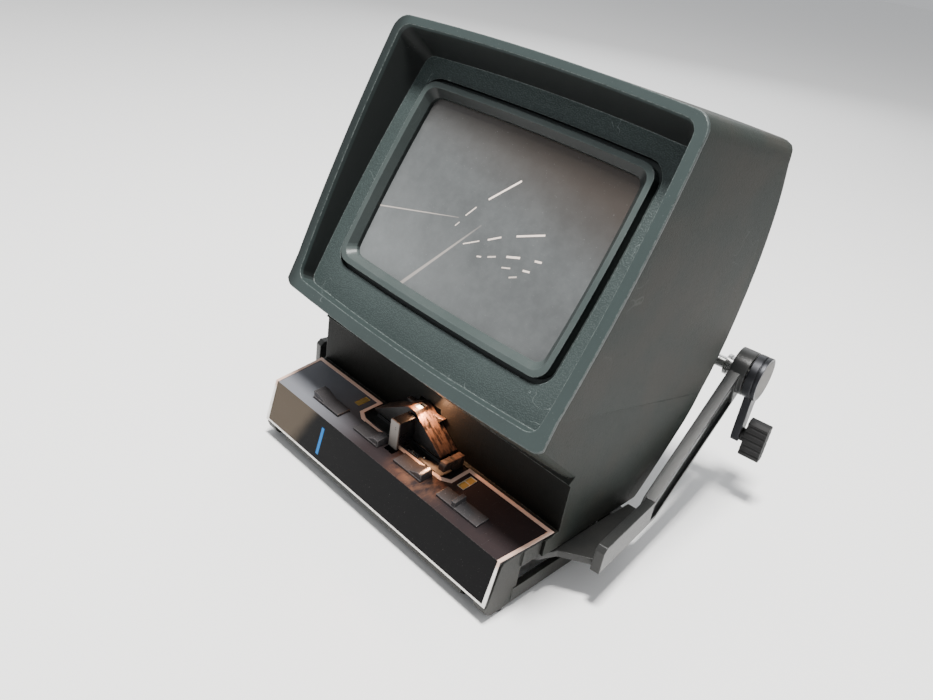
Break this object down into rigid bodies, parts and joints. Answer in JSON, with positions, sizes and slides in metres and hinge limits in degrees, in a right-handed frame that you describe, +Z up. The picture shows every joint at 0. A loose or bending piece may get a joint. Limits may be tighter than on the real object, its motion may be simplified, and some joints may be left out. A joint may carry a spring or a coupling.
{
  "type": "film editor viewer",
  "caption": "Table-top viewer for small-gauge cine film: a hooded ground screen over a film gate and finger keys, with two folding crank arms that carry the reels",
  "frame": {"origin": "Middle of the bounding box's base, on the table under the viewer, with both reel arms folded back", "axes": "+Z up, +Y from the control panel to the rear, +X to the right of someone facing the screen"},
  "size_m": [0.2854, 0.2404, 0.2782],
  "materials": {
    "green_casting": "satin, worn edges",
    "dark_casting": "satin",
    "grained_plate": "pebble grain",
    "frame_plastic": "smooth",
    "screen_sheet": "ground",
    "panel_black": "gloss",
    "trim_bright": "bright",
    "key_black": "satin",
    "gate_black": "satin",
    "grip_silver": "brushed",
    "steel": "turned",
    "rubber_black": "matte",
    "zinc_grey": "plain",
    "brass": "turned",
    "clear_glass": "polished",
    "mirror_silver": "front silvered",
    "copper_wire": "lacquered",
    "inlay_brown": "satin",
    "crank_black": "satin"
  },
  "bodies": {
    "viewer": {"base_frame": "dark_casting", "feet": "rubber_black", "pan_screws": "steel", "cable_gland": "rubber_black", "transformer_core": "zinc_grey", "transformer_coil": "copper_wire", "control_panel": "panel_black", "panel_trim": "trim_bright", "head_shell": "green_casting", "rear_cover": "dark_casting", "cover_screws": "steel", "bezel_insert": "grained_plate", "screen_frame": "frame_plastic", "screen": "screen_sheet", "screen_clips": "steel", "main_mirror": "mirror_silver", "mirror_bracket": "zinc_grey", "lens_cradle": "zinc_grey", "gate_bed": "gate_black", "guide_blocks": "gate_black", "light_shield": "gate_black", "shaft_bearing": "zinc_grey", "condenser": "clear_glass", "condenser_holder": "zinc_grey", "lamp": "clear_glass", "lamp_socket": "brass", "reflector": "mirror_silver", "lamp_switch": "key_black", "pivot_pins": "steel"},
    "film_drive": {"sprocket": "steel", "drive_gear": "brass"},
    "prism_rotor": {"prism": "clear_glass", "prism_pinion": "brass"},
    "mask_slide": {"framing_mask": "steel"},
    "frame_slide": {"frame_key": "key_black"},
    "focus_slide": {"focus_key": "key_black"},
    "lens_slide": {"lens_barrel": "crank_black", "lens_glass": "clear_glass"},
    "mark_lever": {"mark_key": "key_black"},
    "lamp_slide": {"lamp_key": "key_black"},
    "format_slide": {"format_lever": "gate_black", "lever_plate": "grip_silver", "lever_mirror": "mirror_silver"},
    "right_arm": {"arm_right": "dark_casting"},
    "left_arm": {"arm_left": "dark_casting"},
    "right_crank": {"crank_right": "crank_black", "spindle_right": "steel", "crank_inlay_right": "inlay_brown"},
    "left_crank": {"crank_left": "crank_black", "spindle_left": "steel", "crank_inlay_left": "inlay_brown"},
    "right_knob": {"knob_right": "crank_black"},
    "left_knob": {"knob_left": "crank_black"}
  },
  "joints": [
    {"name": "right_arm_swing", "type": "hinge", "parent": "viewer", "child": "right_arm", "pos_m": [0.0994, -0.07458, 0.028], "axis": [0, 0, -1], "range_deg": [0, 97]},
    {"name": "left_arm_swing", "type": "hinge", "parent": "viewer", "child": "left_arm", "pos_m": [-0.0994, -0.07458, 0.028], "axis": [0, 0, 1], "range_deg": [0, 97]},
    {"name": "right_crank_turn", "type": "hinge", "parent": "right_arm", "child": "right_crank", "pos_m": [0.11094, 0.10305, 0.0957], "axis": [0.9925, 0.1219, 0], "continuous": true},
    {"name": "left_crank_turn", "type": "hinge", "parent": "left_arm", "child": "left_crank", "pos_m": [-0.11094, 0.10305, 0.0957], "axis": [-0.9925, 0.1219, 0], "continuous": true},
    {"name": "right_knob_spin", "type": "hinge", "parent": "right_crank", "child": "right_knob", "pos_m": [0.13277, 0.10573, 0.0517], "axis": [0.9925, 0.1219, 0], "continuous": true},
    {"name": "left_knob_spin", "type": "hinge", "parent": "left_crank", "child": "left_knob", "pos_m": [-0.13277, 0.10573, 0.0517], "axis": [-0.9925, 0.1219, 0], "continuous": true},
    {"name": "mark_press", "type": "hinge", "parent": "viewer", "child": "mark_lever", "pos_m": [-0.05, -0.10027, 0.03862], "axis": [0, -0.9963, -0.086], "range_deg": [0, 6], "stiffness_Nm_per_rad": 0.02, "springref_deg": -2.01},
    {"name": "focus_travel", "type": "slide", "parent": "viewer", "child": "focus_slide", "axis": [1, 0, 0], "range_m": [-0.006, 0.001]},
    {"name": "lens_travel", "type": "slide", "parent": "viewer", "child": "lens_slide", "axis": [0, 0.9659, 0.2588], "range_m": [-0.0004, 0.0024]},
    {"name": "frame_travel", "type": "slide", "parent": "viewer", "child": "frame_slide", "axis": [1, 0, 0], "range_m": [-0.004, 0.004]},
    {"name": "mask_travel", "type": "slide", "parent": "viewer", "child": "mask_slide", "axis": [1, 0, 0], "range_m": [-0.001, 0.001]},
    {"name": "lamp_switch_travel", "type": "slide", "parent": "viewer", "child": "lamp_slide", "axis": [1, 0, 0], "range_m": [0, 0.005]},
    {"name": "format_pull", "type": "slide", "parent": "viewer", "child": "format_slide", "axis": [0, -1, 0], "range_m": [0, 0.003]},
    {"name": "sprocket_turn", "type": "hinge", "parent": "viewer", "child": "film_drive", "pos_m": [0.008, -0.07988, 0.03875], "axis": [0, 1, 0], "continuous": true},
    {"name": "prism_turn", "type": "hinge", "parent": "viewer", "child": "prism_rotor", "pos_m": [-0.00235, -0.07988, 0.05045], "axis": [0, 1, 0], "continuous": true}
  ],
  "couplings": [
    {"joint": "lens_travel", "follows": "focus_travel", "ratio": -0.4},
    {"joint": "mask_travel", "follows": "frame_travel", "ratio": 0.25},
    {"joint": "prism_turn", "follows": "sprocket_turn", "ratio": -2}
  ]
}
